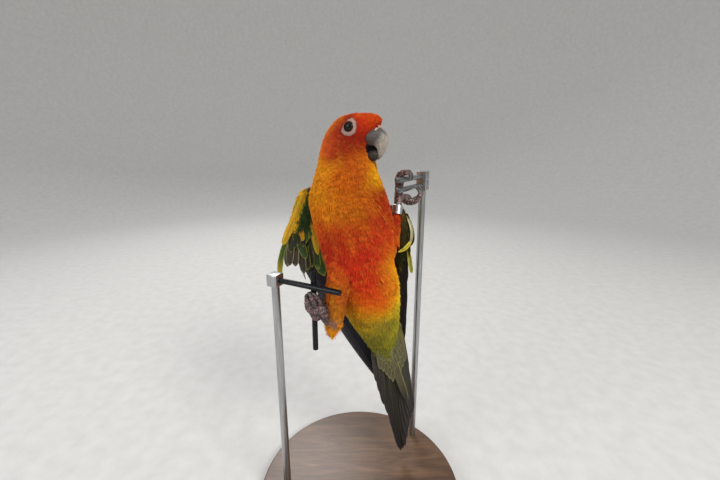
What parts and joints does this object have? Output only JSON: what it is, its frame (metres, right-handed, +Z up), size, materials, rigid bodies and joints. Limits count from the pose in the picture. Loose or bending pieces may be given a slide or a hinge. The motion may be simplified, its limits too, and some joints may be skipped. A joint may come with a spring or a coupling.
{
  "type": "sun conure model on display stand",
  "caption": "Life-size still model of a sun conure clinging to short lengths of cage wire, held by a plain display stand.",
  "frame": {"origin": "centre of the base's underside, on the floor", "axes": "+Z up; the bird's breast faces about -Y and its head is turned towards +X; +X is the bird's left side"},
  "size_m": [0.172, 0.172, 0.3186],
  "materials": {
    "plumage_head": "orange-red head feathers",
    "plumage_neck": "golden orange neck feathers",
    "plumage_torso": "orange and red body feathers, yellow-green towards the tail",
    "plumage_thigh": "orange leg feathers",
    "plumage_wing": "yellow coverts, green and dark blue flight feathers",
    "plumage_tail": "olive grey tail feathers with yellow-green edges",
    "eye": "dark wet eye",
    "beak": "dark grey horn",
    "foot": "scaly grey-pink skin",
    "claw": "black horn",
    "leg_band": "plain silver-grey ring",
    "perch_wire": "glossy black coated wire",
    "stand_metal": "satin steel",
    "stand_base": "dark satin wood"
  },
  "bodies": {
    "root": {"head": "plumage_head", "neck": "plumage_neck", "torso": "plumage_torso", "eye_right": "eye", "eye_left": "eye", "beak_upper": "beak", "beak_lower": "beak", "wing_right": "plumage_wing", "wing_left": "plumage_wing", "tail": "plumage_tail", "thigh_right": "plumage_thigh", "thigh_left": "plumage_thigh", "leg_band": "leg_band", "foot_right": "foot", "foot_left": "foot", "perch_wire_lower": "perch_wire", "perch_wire_upper": "perch_wire", "perch_wire_upper_second": "perch_wire", "stand_base": "stand_base", "stand_rod_low": "stand_metal", "stand_rod_high": "stand_metal", "stand_clamp_low": "stand_metal", "stand_clamp_high": "stand_metal", "claw_left_1": "claw", "claw_left_2": "claw", "claw_left_3": "claw", "claw_left_4": "claw", "claw_right_1": "claw", "claw_right_2": "claw", "claw_right_3": "claw", "claw_right_4": "claw"}
  },
  "joints": []
}
